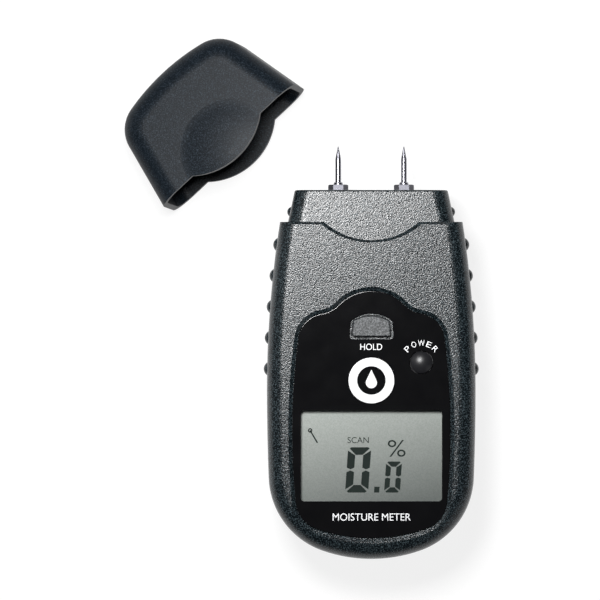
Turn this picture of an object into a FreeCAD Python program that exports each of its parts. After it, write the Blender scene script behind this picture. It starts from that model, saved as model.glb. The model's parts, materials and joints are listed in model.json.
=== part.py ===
import FreeCAD, Part
import math
import os
import re

import Sketcher

# A pin-type moisture meter lying on its back, with its protective cap laid down beside it.
# Origin: the middle of the back rest face.  +Z leaves the display, +Y points to the probe pins
# and +X is to the right of someone who reads the display.  Lengths are in millimetres and
# angles in degrees.

SIZES = {
    # outline of the meter, seen from the front
    "shoulder_level": 48.1,
    "foot_level": -58.3,
    "widest_level": -5.0,
    "half_width": 32.95,
    "upper_side_radius": 345.0,
    "lower_side_radius": 700.0,
    "foot_corner_radius": 25.3,
    "foot_radius": 46.8,
    # section of the case
    "thickness": 32.0,
    "split_level": 16.8,
    "side_wall": 2.0,
    "front_wall": 3.4,
    "back_wall": 2.4,
    "front_round": 5.4,
    "back_round": 6.0,
    "core_round": 2.0,
    "seam_width": 0.4,
    "seam_depth": 0.35,
    "seam_past": 5.0,
    # how far cutting shapes and joined shapes run past a surface
    "join_past": 0.5,
    "cut_past": 1.0,
    "deep_past": 3.0,
    "form_past": 20.0,
    # play round pieces that are pressed in, and round ones that drop in
    "close_gap": 0.05,
    "loose_gap": 0.2,
    # grip ribs on the two sides
    "rib_radius": 2.4,
    "rib_inset": 1.3,
    "rib_pitch": 9.8,
    "rib_top_level": 40.9,
    "rib_low": 7.0,
    "rib_high": 26.0,
    "rib_flat": 0.3,
    # the cap's outer form, from which the neck is inset
    "cap_half_width": 28.4,
    "cap_side_taper": 12.0,
    "cap_front_taper": 1.5,
    "cap_back_taper": 8.0,
    "cap_back_level": 0.3,
    "cap_height": 31.9,
    "cap_end_radius": 72.0,
    "cap_corner_radius": 11.0,
    "cap_front_round": 7.0,
    "cap_back_round": 7.0,
    "cap_wall": 1.7,
    "cap_gap": 0.35,
    "cap_mouth_gap": 0.2,
    "mouth_past": 2.0,
    "mouth_low": -10.0,
    "mouth_reach": 30.0,
    "scoop_bevel": 0.8,
    "tongue_half_width": 14.6,
    "tongue_depth": 5.4,
    "dome_reach": 17.5,
    "dome_height": 1.5,
    "dome_flare": 25.0,
    "dome_drop": 2.5,
    "dome_root": 1.2,
    "dome_sink": 0.03,
    # where the cap lies: the middle of its front lip, and its turns
    "cap_rest_x": -45.8,
    "cap_rest_y": 72.5,
    "cap_yaw": 42.3,
    "cap_roll": -4.4,
    # neck
    "neck_level": 58.2,
    "neck_wall": 2.0,
    "neck_core_start": 39.5,
    "neck_overlap": 2.0,
    "neck_edge_round": 0.7,
    "detent_level": 51.3,
    "detent_radius": 1.7,
    "detent_proud": 0.95,
    "detent_height": 21.0,
    "dimple_gap": 0.15,
    # front panel: outline of its recess at the front face
    "panel_peak": 27.6,
    "panel_hump_radius": 15.5,
    "panel_hollow_radius": 8.0,
    "panel_shoulder_radius": 9.9,
    "panel_shoulder_level": 10.6,
    "panel_half_width": 26.2,
    "panel_widest_level": -18.0,
    "panel_side_radius": 230.0,
    "panel_foot_level": -53.3,
    "panel_foot_radius": 55.0,
    "panel_corner_radius": 11.0,
    "bevel_width": 1.2,
    "bevel_foot_extra": 0.4,
    "bevel_depth": 0.8,
    "overlay_thickness": 0.8,
    "overlay_gap": 0.08,
    "overlay_edge_round": 0.2,
    # display
    "window_half_width": 22.25,
    "window_top": -11.2,
    "window_foot": -40.0,
    "window_corner": 1.1,
    "window_gap": 0.2,
    "lens_margin": 1.2,
    "lens_corner": 1.6,
    "lens_low": 29.6,
    "glass_half_width": 24.0,
    "glass_top": -9.2,
    "glass_foot": -42.0,
    "glass_low": 25.7,
    "glass_high": 28.5,
    "frame_wall": 1.2,
    "frame_ledge": 1.2,
    "frame_step": 0.2,
    "strip_width": 2.4,
    "strip_end": 2.0,
    "strip_inset": 0.2,
    # circuit board
    "board_half_width": 24.5,
    "board_foot": -43.0,
    "board_top": 30.0,
    "board_low": 22.6,
    "board_high": 24.2,
    "board_screw_x": 21.0,
    "board_screw_top": 26.5,
    "board_screw_foot": -4.6,
    "board_screw_radius": 1.1,
    "board_post_radius": 2.4,
    "board_screw_grip": 3.5,
    "board_head_height": 1.3,
    "board_slot_floor": 0.8,
    "board_slot_half_length": 1.3,
    "board_slot_width": 0.5,
    # parts on the board
    "chip_half_side": 5.0,
    "chip_middle": 18.0,
    "chip_height": 1.6,
    "resistor_x": 9.5,
    "resistor_half_length": 1.0,
    "resistor_start": 11.5,
    "resistor_pitch": 3.6,
    "resistor_width": 1.3,
    "resistor_height": 0.9,
    "capacitor_radius": 2.5,
    "capacitor_x": 15.5,
    "capacitor_y": 16.0,
    "capacitor_height": 5.4,
    "crystal_half_length": 4.0,
    "crystal_start": 25.5,
    "crystal_width": 3.0,
    "crystal_height": 2.2,
    # HOLD button
    "hold_foot": 12.0,
    "hold_foot_half_width": 6.15,
    "hold_shoulder": 16.9,
    "hold_shoulder_half_width": 5.6,
    "hold_peak": 18.4,
    "hold_corner": 0.7,
    "hold_proud": 0.5,
    # POWER button
    "power_x": 15.75,
    "power_y": 3.8,
    "power_radius": 3.45,
    "power_dome": 1.3,
    "power_proud": 0.2,
    # both buttons and their switches
    "button_gap": 0.3,
    "button_rim": 0.9,
    "flange_rim": 0.9,
    "flange_low": 27.8,
    "flange_high": 28.5,
    "flange_joint": 0.2,
    "button_edge_round": 0.45,
    "switch_half_side": 3.0,
    "switch_high": 27.0,
    "plunger_radius": 1.6,
    "plunger_low": 25.6,
    "plunger_gap": 0.15,
    "plunger_well": 24.8,
    "switch_level": 15.0,
    # probe pins
    "pin_half_pitch": 10.4,
    "pin_radius": 0.915,
    "pin_tip_radius": 0.12,
    "pin_cone_level": 68.1,
    "pin_tip_level": 72.1,
    "thread_radius": 1.45,
    "thread_end": 60.6,
    "thread_start": 48.0,
    "thread_chamfer": 0.3,
    "nut_thickness": 1.8,
    "nut_across_flats": 5.5,
    "nut_corner_cut": 0.45,
    "socket_radius": 3.2,
    "socket_start": 46.0,
    "socket_end": 56.0,
    "socket_bore": 1.5,
    "socket_floor": 1.5,
    "cradle_start": 48.5,
    "cradle_end": 53.5,
    "cradle_half_width": 4.6,
    "cradle_low": 4.5,
    "pin_hole_radius": 1.7,
    # battery and its compartment
    "battery_half_width": 13.25,
    "battery_foot": -51.0,
    "battery_length": 48.5,
    "battery_low": 2.7,
    "battery_thickness": 17.5,
    "battery_round": 1.8,
    "stud_pitch": 12.7,
    "stud_height": 2.8,
    "small_stud_radius": 2.9,
    "large_stud_radius": 4.0,
    "stud_gap": 0.3,
    "stud_end_gap": 0.4,
    "snap_gap": 0.2,
    "snap_depth": 5.0,
    "snap_half_height": 6.0,
    "snap_inset": 1.0,
    "bay_half_width": 13.75,
    "bay_wall": 1.5,
    "bay_top": 5.0,
    "bay_roof": 20.9,
    "bay_roof_wall": 1.2,
    "bay_foot": -53.3,
    "ledge_half_width": 18.0,
    "ledge_height": 1.2,
    "ledge_depth": 3.0,
    "pad_thickness": 0.6,
    "pad_side_inset": 2.0,
    "pad_end_inset": 8.0,
    # battery door
    "door_half_width": 15.8,
    "door_top": 6.8,
    "door_thickness": 2.2,
    "door_gap": 0.2,
    "door_tongue": 0.85,
    "door_tongue_low": 0.9,
    "door_tongue_high": 1.7,
    "door_tongue_start": -44.0,
    "door_tongue_setback": 2.0,
    "door_slot_gap": 0.15,
    "door_end_gap": 0.1,
    "door_grip_level": -36.0,
    "door_grip_pitch": 2.4,
    "door_grip_half_width": 8.0,
    "door_grip_radius": 0.7,
    # case screws, through the rear cover into posts of the front cover
    "foot_screw_x": 22.5,
    "foot_screw_y": -46.6,
    "head_screw_x": 24.2,
    "head_screw_y": 34.6,
    "boss_radius": 3.9,
    "post_radius": 3.0,
    "screw_head_radius": 2.6,
    "screw_head_low": 0.9,
    "screw_head_high": 2.9,
    "screw_radius": 1.25,
    "screw_hole_radius": 1.5,
    "screw_top": 25.0,
    "screw_slot_depth": 1.0,
    "screw_slot_width": 0.7,
    "screw_slot_share": 0.65,
    # leads
    "lead_radius": 0.65,
    "lead_bend": 4.0,
    "wire_gap": 0.8,
    "probe_lead_level": 27.0,
    "battery_lead_half_pitch": 1.1,
    "battery_lead_height": 15.9,
    "battery_lead_run": 5.5,
}

X_AXIS = FreeCAD.Vector(1, 0, 0)
Y_AXIS = FreeCAD.Vector(0, 1, 0)
Z_AXIS = FreeCAD.Vector(0, 0, 1)
FAR = 90.0          # further out than any part of the case
FINE = 0.01         # how closely a tessellation follows a shape when its lowest point is sought
CLOSE = 1e-4        # two points nearer than this are the same point
MOST = 0.9          # a cut that leaves more of a form than this has missed it

doc = FreeCAD.newDocument("moisture_meter")
sheet = doc.addObject("Spreadsheet::Sheet", "sizes")
for row, (size_name, size_value) in enumerate(SIZES.items(), start=1):
    sheet.set(f"A{row}", size_name)
    sheet.set(f"B{row}", str(size_value))
    sheet.setAlias(f"B{row}", size_name)
doc.recompute()

sub_parts = []


# ---------------------------------------------------------------- formulas and placing

def formula(text):
    """The text with each of the sheet's names written in full, as sizes.name."""
    def full_name(word):
        return f"sizes.{word[0]}" if word[0] in SIZES else word[0]
    return re.sub(r"[A-Za-z_]\w*", full_name, str(text))


def number(text):
    """What a formula of the sheet's names comes to."""
    return float(sheet.evalExpression(formula(text)))


def place(item, x, y, z):
    """Binds an object's place to three formulas."""
    item.setExpression("Placement.Base.x", formula(x))
    item.setExpression("Placement.Base.y", formula(y))
    item.setExpression("Placement.Base.z", formula(z))


def finished(item, label):
    """Marks an object as a sub-part of the meter."""
    item.Label = label
    sub_parts.append(item)
    return item


# ---------------------------------------------------------------- primitives and booleans

def block(name, low, high):
    """A box between two corners, each given as three formulas."""
    item = doc.addObject("Part::Box", name)
    for side, start, end in zip(("Length", "Width", "Height"), low, high):
        item.setExpression(side, formula(f"({end}) - ({start})"))
    place(item, *low)
    return item


def rod(name, radius, x, y, z, end, axis=Z_AXIS):
    """A cylinder from a point to the level end along Z or Y."""
    item = doc.addObject("Part::Cylinder", name)
    item.Placement = FreeCAD.Placement(FreeCAD.Vector(), FreeCAD.Rotation(Z_AXIS, axis))
    item.setExpression("Radius", formula(radius))
    start = z if axis == Z_AXIS else y
    item.setExpression("Height", formula(f"({end}) - ({start})"))
    place(item, x, y, z)
    return item


def fuse(name, *shapes):
    item = doc.addObject("Part::MultiFuse", name)
    item.Shapes = list(shapes)
    return item


def cut(name, base, *tools):
    item = doc.addObject("Part::Cut", name)
    item.Base = base
    item.Tool = tools[0] if len(tools) == 1 else fuse(name + "_tools", *tools)
    return item


def common(name, *shapes):
    item = doc.addObject("Part::MultiCommon", name)
    item.Shapes = list(shapes)
    return item


def group(name, *shapes):
    item = doc.addObject("Part::Compound", name)
    item.Links = list(shapes)
    return item


# ---------------------------------------------------------------- sketches and features

def new_body(name):
    return doc.addObject("PartDesign::Body", name)


def new_sketch(body, name, role="XY_Plane", level="0"):
    """A sketch on one of the body's origin planes, moved off it by the formula level."""
    plane = [item for item in body.Origin.OriginFeatures if item.Role == role][0]
    sketch = body.newObject("Sketcher::SketchObject", name)
    sketch.AttachmentSupport = (plane, [""])
    sketch.MapMode = "FlatFace"
    sketch.setExpression("AttachmentOffset.Base.z", formula(level))
    return sketch


def add_pad(body, sketch, name, length):
    item = body.newObject("PartDesign::Pad", name)
    item.Profile = sketch
    item.setExpression("Length", formula(length))
    doc.recompute()
    return item


def add_fillet(body, base, name, radius, wanted):
    """Rounds the edges of the base feature that the function wanted picks."""
    edges = [f"Edge{index}" for index, edge in enumerate(base.Shape.Edges, start=1) if wanted(edge)]
    item = body.newObject("PartDesign::Fillet", name)
    item.Base = (base, edges)
    item.setExpression("Radius", formula(radius))
    doc.recompute()
    return item


def hold_datum(sketch, kind, text, *places):
    """Adds a dimension to a sketch and binds it to a formula."""
    index = sketch.addConstraint(Sketcher.Constraint(kind, *places, number(text)))
    sketch.setExpression(f"Constraints[{index}]", formula(text))


def line(start, end):
    return {"start": start, "end": end}


def arc(centre, radius, start, end, centre_x=None, centre_y=None):
    """A piece of outline on a circle; radius and the centre's places are formulas."""
    return {"start": start, "end": end, "centre": centre, "radius": radius,
            "centre_x": centre_x, "centre_y": centre_y}


def edge_of(piece):
    if "centre" not in piece:
        return Part.LineSegment(piece["start"], piece["end"])
    centre = piece["centre"]
    outward = (piece["start"] - centre) + (piece["end"] - centre)
    middle = centre + outward.normalize() * (piece["start"] - centre).Length
    return Part.Arc(piece["start"], middle, piece["end"])


def draw(sketch, pieces):
    """Draws a closed outline, joins its pieces, smoothly at arcs, and binds its arcs."""
    first = sketch.GeometryCount
    for piece in pieces:
        sketch.addGeometry(edge_of(piece), False)
    for index, piece in enumerate(pieces):
        after = (index + 1) % len(pieces)
        here = end_at(sketch, first + index, piece["end"])
        there = end_at(sketch, first + after, piece["end"])
        smooth = "centre" in piece and "centre" in pieces[after]
        kind = "Tangent" if smooth else "Coincident"
        sketch.addConstraint(Sketcher.Constraint(kind, first + index, here, first + after, there))
    for index, piece in enumerate(pieces, start=first):
        if "centre" not in piece:
            continue
        hold_datum(sketch, "Radius", piece["radius"], index)
        if piece["centre_x"] is not None:
            hold_datum(sketch, "DistanceX", piece["centre_x"], -1, 1, index, 3)
        if piece["centre_y"] is not None:
            hold_datum(sketch, "DistanceY", piece["centre_y"], -1, 1, index, 3)


def end_at(sketch, index, point):
    """Which end of a sketch's edge lies at the point: 1 is its start and 2 its end."""
    start = sketch.getPoint(index, 1)
    return 1 if (start - point).Length < CLOSE else 2


def draw_polygon(sketch, corners):
    """A closed polygon whose corners are pairs of formulas."""
    points = [FreeCAD.Vector(number(x), number(y), 0) for x, y in corners]
    first = sketch.GeometryCount
    draw(sketch, [line(start, end) for start, end in zip(points, points[1:] + points[:1])])
    for index, (x, y) in enumerate(corners, start=first):
        hold_datum(sketch, "DistanceX", x, -1, 1, index, 1)
        hold_datum(sketch, "DistanceY", y, -1, 1, index, 1)


def draw_circle(sketch, x, y, radius):
    centre = FreeCAD.Vector(number(x), number(y), 0)
    index = sketch.addGeometry(Part.Circle(centre, Z_AXIS, number(radius)), False)
    hold_datum(sketch, "Radius", radius, index)
    hold_datum(sketch, "DistanceX", x, -1, 1, index, 3)
    hold_datum(sketch, "DistanceY", y, -1, 1, index, 3)


# ---------------------------------------------------------------- outline geometry

def meeting_centre(one, one_distance, other, other_distance, towards):
    """The point at two distances from two points, on the side that towards points to."""
    span = (other - one).Length
    along = (other - one).normalize()
    across = Z_AXIS.cross(along)
    reach = (one_distance ** 2 - other_distance ** 2 + span ** 2) / (2 * span)
    height = math.sqrt(one_distance ** 2 - reach ** 2)
    choices = [one + along * reach + across * height, one + along * reach - across * height]
    return max(choices, key=towards.dot)


def on_circle(centre, through, radius):
    """The point of a circle in the direction of another point."""
    return centre + (through - centre).normalize() * radius


def flip_x(point):
    return FreeCAD.Vector(-point.x, point.y, 0)


def mirrored(pieces):
    """The same pieces on the other side of the Y axis, in the order that closes the outline."""
    result = []
    for piece in reversed(pieces):
        twin = dict(piece, start=flip_x(piece["end"]), end=flip_x(piece["start"]))
        if "centre" in piece:
            twin["centre"] = flip_x(piece["centre"])
            if piece["centre_x"] is not None:
                twin["centre_x"] = f"-({piece['centre_x']})"
        result.append(twin)
    return result


def meter_outline(inset):
    """The meter's outline below the neck, moved inwards by the formula inset."""
    margin = number(inset)
    upper = number("upper_side_radius")
    lower = number("lower_side_radius")
    corner = number("foot_corner_radius")
    foot = number("foot_radius")
    widest = number("widest_level")
    upper_centre = FreeCAD.Vector(number("half_width") - upper, widest, 0)
    lower_centre = FreeCAD.Vector(number("half_width") - lower, widest, 0)
    foot_centre = FreeCAD.Vector(0, number("foot_level") + foot, 0)
    corner_centre = meeting_centre(lower_centre, lower - corner, foot_centre, foot - corner,
                                   FreeCAD.Vector(1, -1, 0))
    shoulder = number("shoulder_level") - margin
    reach = math.sqrt((upper - margin) ** 2 - (shoulder - widest) ** 2)
    top = FreeCAD.Vector(upper_centre.x + reach, shoulder, 0)
    side = FreeCAD.Vector(number("half_width") - margin, widest, 0)
    corner_start = on_circle(lower_centre, corner_centre, lower - margin)
    corner_end = on_circle(foot_centre, corner_centre, foot - margin)
    right = [
        arc(upper_centre, f"upper_side_radius - ({inset})", top, side,
            "half_width - upper_side_radius", "widest_level"),
        arc(lower_centre, f"lower_side_radius - ({inset})", side, corner_start,
            None, "widest_level"),
        arc(corner_centre, f"foot_corner_radius - ({inset})", corner_start, corner_end),
    ]
    bottom = arc(foot_centre, f"foot_radius - ({inset})", corner_end, flip_x(corner_end),
                 "0", "foot_level + foot_radius")
    return right + [bottom] + mirrored(right) + [line(flip_x(top), top)]


def panel_outline(inset, foot_inset):
    """The front panel's outline, with its hump at the top, moved inwards."""
    margin = number(inset)
    hump = number("panel_hump_radius") - margin
    hollow = number("panel_hollow_radius") + margin
    shoulder = number("panel_shoulder_radius") - margin
    side = number("panel_side_radius") - margin
    corner = number("panel_corner_radius") - margin
    foot = number("panel_foot_radius") - number(foot_inset)
    hump_centre = FreeCAD.Vector(0, number("panel_peak - panel_hump_radius"), 0)
    side_centre = FreeCAD.Vector(number("panel_half_width - panel_side_radius"),
                                 number("panel_widest_level"), 0)
    foot_centre = FreeCAD.Vector(0, number("panel_foot_level + panel_foot_radius"), 0)
    shoulder_level = number("panel_shoulder_level")
    rise = shoulder_level - side_centre.y
    shoulder_x = side_centre.x + math.sqrt((side - shoulder) ** 2 - rise ** 2)
    shoulder_centre = FreeCAD.Vector(shoulder_x, shoulder_level, 0)
    hollow_centre = meeting_centre(hump_centre, hump + hollow, shoulder_centre, shoulder + hollow,
                                   FreeCAD.Vector(0, 1, 0))
    corner_centre = meeting_centre(side_centre, side - corner, foot_centre, foot - corner,
                                   FreeCAD.Vector(1, -1, 0))
    hump_end = on_circle(hump_centre, hollow_centre, hump)
    hollow_end = on_circle(shoulder_centre, hollow_centre, shoulder)
    shoulder_end = on_circle(side_centre, shoulder_centre, side)
    side_end = on_circle(side_centre, corner_centre, side)
    corner_end = on_circle(foot_centre, corner_centre, foot)
    right = [
        arc(hollow_centre, f"panel_hollow_radius + ({inset})", hump_end, hollow_end),
        arc(shoulder_centre, f"panel_shoulder_radius - ({inset})", hollow_end, shoulder_end,
            None, "panel_shoulder_level"),
        arc(side_centre, f"panel_side_radius - ({inset})", shoulder_end, side_end,
            "panel_half_width - panel_side_radius", "panel_widest_level"),
        arc(corner_centre, f"panel_corner_radius - ({inset})", side_end, corner_end),
    ]
    top = arc(hump_centre, f"panel_hump_radius - ({inset})", flip_x(hump_end), hump_end,
              "0", "panel_peak - panel_hump_radius")
    bottom = arc(foot_centre, f"panel_foot_radius - ({foot_inset})", corner_end, flip_x(corner_end),
                 "0", "panel_foot_level + panel_foot_radius")
    return [top] + right + [bottom] + mirrored(right)


def hold_outline(grow):
    """The HOLD button's outline: a flat foot, leaning sides and an arched top, grown by a margin."""
    margin = number(grow)
    foot = FreeCAD.Vector(number("hold_foot_half_width") + margin, number("hold_foot") - margin, 0)
    shoulder = FreeCAD.Vector(number("hold_shoulder_half_width") + margin, number("hold_shoulder"), 0)
    peak = FreeCAD.Vector(0, number("hold_peak") + margin, 0)
    rise = peak.y - shoulder.y
    radius = (shoulder.x ** 2 + rise ** 2) / (2 * rise)
    centre = FreeCAD.Vector(0, peak.y - radius, 0)
    text = (f"((hold_shoulder_half_width + {grow})^2 + (hold_peak + {grow} - hold_shoulder)^2)"
            f" / (2 * (hold_peak + {grow} - hold_shoulder))")
    return [
        line(flip_x(foot), foot),
        line(foot, shoulder),
        arc(centre, text, shoulder, flip_x(shoulder), "0", None),
        line(flip_x(shoulder), flip_x(foot)),
    ]


# ---------------------------------------------------------------- edges to round

def level_edge(level):
    """Picks the edges that lie flat at a height."""
    def wanted(edge):
        box = edge.BoundBox
        return abs(box.ZMin - level) < CLOSE and abs(box.ZMax - level) < CLOSE
    return wanted


def upright(edge):
    """Picks the straight edges along Z."""
    box = edge.BoundBox
    return box.ZLength > CLOSE and box.XLength < CLOSE and box.YLength < CLOSE


def rim_edge(level, end):
    """Picks the flat edges at a height, but not those on the plane across Y at end."""
    at_level = level_edge(level)

    def wanted(edge):
        box = edge.BoundBox
        on_end = abs(box.YMin - end) < CLOSE and abs(box.YMax - end) < CLOSE
        return at_level(edge) and not on_end
    return wanted


# ---------------------------------------------------------------- forms of the case

def case_form(name, inset, low, high, back_round, front_round):
    """A solid with the meter's outline between two heights, its long edges rounded."""
    body = new_body(name)
    sketch = new_sketch(body, name + "_outline", level=low)
    draw(sketch, meter_outline(inset))
    feature = add_pad(body, sketch, name + "_pad", f"({high}) - ({low})")
    end = number(f"shoulder_level - ({inset})")
    if front_round:
        feature = add_fillet(body, feature, name + "_front_round", front_round,
                             rim_edge(number(high), end))
    if back_round:
        feature = add_fillet(body, feature, name + "_back_round", back_round,
                             rim_edge(number(low), end))
    return body


def neck_outline(inset, start, end):
    """The tapered outline of the neck, between two levels, inset from the cap's outside."""
    lean = "tan(cap_side_taper)"
    base = f"cap_half_width - ({inset}) / cos(cap_side_taper)"
    low_x = f"({base} - (({start}) - shoulder_level) * {lean})"
    high_x = f"({base} - (({end}) - shoulder_level) * {lean})"
    return [(low_x, start), (high_x, end), (f"-{high_x}", end), (f"-{low_x}", start)]


def cap_outline(inset, start):
    """The cap's outline: leaning sides from the level start, round corners and an arched end."""
    margin = number(inset)
    lean = math.radians(number("cap_side_taper"))
    outward = FreeCAD.Vector(math.cos(lean), math.sin(lean), 0)
    upward = FreeCAD.Vector(-math.sin(lean), math.cos(lean), 0)
    mouth = FreeCAD.Vector(number("cap_half_width"), number("shoulder_level"), 0)
    reach = outward.dot(mouth)
    end_radius = number("cap_end_radius")
    corner = number("cap_corner_radius")
    end_centre = FreeCAD.Vector(0, number("shoulder_level + cap_height") - end_radius, 0)
    # the corner's centre is one corner radius inside the side and inside the arched end
    inside = outward * (reach - corner)
    offset = end_centre - inside
    along = offset.dot(upward)
    aside = offset.dot(outward)
    corner_centre = inside + upward * (along + math.sqrt((end_radius - corner) ** 2 - aside ** 2))
    side_end = corner_centre + outward * (corner - margin)
    corner_end = on_circle(end_centre, corner_centre, end_radius - margin)
    side_start = side_end - upward * ((side_end.y - number(start)) / upward.y)
    right = [
        line(side_start, side_end),
        arc(corner_centre, f"cap_corner_radius - ({inset})", side_end, corner_end),
    ]
    top = arc(end_centre, f"cap_end_radius - ({inset})", corner_end, flip_x(corner_end),
              "0", "shoulder_level + cap_height - cap_end_radius")
    return right + [top] + mirrored(right) + [line(flip_x(side_start), side_start)]


def front_plane(inset, level):
    """Height of the cap's front face at a level of Y, moved inwards."""
    return (f"(thickness - ({inset}) / cos(cap_front_taper)"
            f" - (({level}) - shoulder_level) * tan(cap_front_taper))")


def back_plane(inset, level):
    """Height of the cap's back face at a level of Y, moved inwards."""
    return (f"(cap_back_level + ({inset}) / cos(cap_back_taper)"
            f" + (({level}) - shoulder_level) * tan(cap_back_taper))")


def tapered_form(name, inset, start, end, pieces, corners, back_round, front_round, end_round=None):
    """The neck's or cap's form: an outline raised along Z, cut to the leaning front and back."""
    body = new_body(name)
    sketch = new_sketch(body, name + "_outline", level="mouth_low")
    if pieces:
        draw(sketch, pieces)
    else:
        draw_polygon(sketch, corners)
    feature = add_pad(body, sketch, name + "_pad", "thickness + form_past")
    profile = new_sketch(body, name + "_section", role="YZ_Plane")
    near = f"({start}) - cut_past"
    far = f"({end}) + cut_past"
    draw_polygon(profile, [(near, front_plane(inset, near)), (far, front_plane(inset, far)),
                           (far, "thickness + form_past"), (near, "thickness + form_past")])
    draw_polygon(profile, [(near, "-form_past"), (far, "-form_past"),
                           (far, back_plane(inset, far)), (near, back_plane(inset, near))])
    pocket = body.newObject("PartDesign::Pocket", name + "_trim")
    pocket.Profile = profile
    pocket.Type = "ThroughAll"
    pocket.Midplane = True
    doc.recompute()
    if not pocket.Shape.Volume < MOST * feature.Shape.Volume:
        raise ValueError(name + ": the trim removed too little")
    feature = pocket
    sharp_levels = [number(start), number(end)] if end_round else [number(start)]
    for side, radius, plane in (("front", front_round, front_plane), ("back", back_round, back_plane)):
        if radius:
            feature = add_fillet(body, feature, f"{name}_{side}_round", radius,
                                 leaning_edge(inset, plane, sharp_levels))
    if end_round:
        level = number(end)
        add_fillet(body, feature, name + "_end_round", end_round,
                   lambda edge: abs(edge.BoundBox.YMin - level) < CLOSE)
    return body


def leaning_edge(inset, plane, sharp_levels):
    """Picks the edges in a leaning face, apart from those across it at the sharp levels of Y."""
    base = number(plane(inset, "shoulder_level"))
    step = 1.0
    slope = (number(plane(inset, f"shoulder_level + {step}")) - base) / step
    level = number("shoulder_level")

    def wanted(edge):
        ends = [vertex.Point for vertex in edge.Vertexes]
        flat = all(abs(point.z - base - slope * (point.y - level)) < CLOSE for point in ends)
        across = any(all(abs(point.y - sharp) < CLOSE for point in ends) for sharp in sharp_levels)
        return flat and not across
    return wanted


def tongue_outline(half_width, depth, rim_level, far_level):
    """A wide strip from the rim level to a far level, with a round tongue below the rim."""
    half = number(half_width)
    drop = number(depth)
    rim = number(rim_level)
    far = number(far_level)
    radius = (half ** 2 + drop ** 2) / (2 * drop)
    centre = FreeCAD.Vector(0, rim - drop + radius, 0)
    left = FreeCAD.Vector(-half, rim, 0)
    right = FreeCAD.Vector(half, rim, 0)
    text = f"(({half_width})^2 + ({depth})^2) / (2 * ({depth}))"
    corners = [right, FreeCAD.Vector(FAR, rim, 0), FreeCAD.Vector(FAR, far, 0),
               FreeCAD.Vector(-FAR, far, 0), FreeCAD.Vector(-FAR, rim, 0), left]
    lines = [line(start, end) for start, end in zip(corners, corners[1:])]
    return [arc(centre, text, left, right, "0", f"({rim_level}) - ({depth}) + {text}")] + lines


def make_ribs():
    """Five upright grip ribs on each side, following the curve of the case."""
    body = new_body("ribs")
    sketch = new_sketch(body, "rib_circles", level="rib_low")
    for count in range(5):
        level = f"rib_top_level - {count} * rib_pitch"
        reach = ("(half_width - upper_side_radius + sqrt(upper_side_radius^2"
                 f" - ({level} - widest_level)^2) - rib_inset)")
        draw_circle(sketch, reach, level, "rib_radius")
        draw_circle(sketch, f"-{reach}", level, "rib_radius")
    pad = add_pad(body, sketch, "rib_pad", "rib_high - rib_low")
    add_fillet(body, pad, "rib_round", "rib_radius - rib_flat",
               lambda edge: edge.BoundBox.ZLength < CLOSE)
    return body


def make_seam():
    """The narrow shadow gap round the line where the two covers meet."""
    outer = case_form("seam_outside", "-seam_past", "split_level - seam_width / 2",
                      "split_level + seam_width / 2", None, None)
    inner = case_form("seam_inside", "seam_depth", "split_level - seam_width",
                      "split_level + seam_width", None, None)
    shoulder = block("seam_shoulder", ("-half_width * 2", "shoulder_level - deep_past",
                                       "split_level - cut_past"),
                     ("half_width * 2", "shoulder_level + seam_past + cut_past", "split_level + cut_past"))
    return cut("seam", outer, inner, shoulder)


def make_scoop():
    """The space for the cap's rim and tongues, with a bevelled edge in the front face."""
    body = new_body("scoop")
    half_width = "tongue_half_width + cap_gap"
    depth = "tongue_depth + cap_gap"
    sketch = new_sketch(body, "scoop_outline", level="mouth_low")
    draw(sketch, tongue_outline(half_width, depth, "shoulder_level", "shoulder_level + form_past"))
    add_pad(body, sketch, "scoop_pad", "thickness + form_past")
    low = new_sketch(body, "scoop_edge_low", level="thickness - scoop_bevel")
    draw(low, tongue_outline(half_width, depth, "shoulder_level", "shoulder_level + form_past"))
    high = new_sketch(body, "scoop_edge_high", level="thickness")
    draw(high, tongue_outline(f"{half_width} + scoop_bevel", depth, "shoulder_level - scoop_bevel",
                              "shoulder_level + form_past"))
    loft = body.newObject("PartDesign::AdditiveLoft", "scoop_edge")
    loft.Profile = low
    loft.Sections = [high]
    loft.Ruled = True
    return body


def make_case():
    """The whole case as one shell, before it is split into its two covers."""
    whole = case_form("case_outside", "0", "0", "thickness", "back_round", "front_round")
    scoop = make_scoop()
    neck_inset = "cap_wall + cap_gap"
    neck = tapered_form("neck", neck_inset, "neck_core_start", "neck_level", None,
                        neck_outline(neck_inset, "neck_core_start", "neck_level"),
                        "cap_back_round - cap_wall - cap_gap",
                        "cap_front_round - cap_wall - cap_gap", "neck_edge_round")
    outside = fuse("case_solid", cut("case_scooped", whole, scoop), neck, make_ribs())
    case_core = case_form("case_core", "side_wall", "back_wall", "thickness - front_wall",
                          "core_round", None)
    keep_off = block("core_end", ("-half_width * 2", "neck_core_start", "-deep_past"),
                     ("half_width * 2", "shoulder_level + deep_past", "thickness + deep_past"))
    core_inset = "cap_wall + cap_gap + neck_wall"
    start = "neck_core_start - neck_overlap"
    end = "neck_level - neck_wall"
    neck_core = tapered_form("neck_core", core_inset, start, end, None,
                             neck_outline(core_inset, start, end), None, None)
    hollow = fuse("case_hollow", cut("case_core_short", case_core, keep_off), neck_core)
    return cut("case_shell", outside, hollow)


# ---------------------------------------------------------------- places that repeat

def case_screw_places():
    return [(f"{side} * foot_screw_x", "foot_screw_y") for side in (-1, 1)] + \
           [(f"{side} * head_screw_x", "head_screw_y") for side in (-1, 1)]


def board_screw_places():
    return [(f"{side} * board_screw_x", level)
            for side in (-1, 1) for level in ("board_screw_top", "board_screw_foot")]


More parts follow.
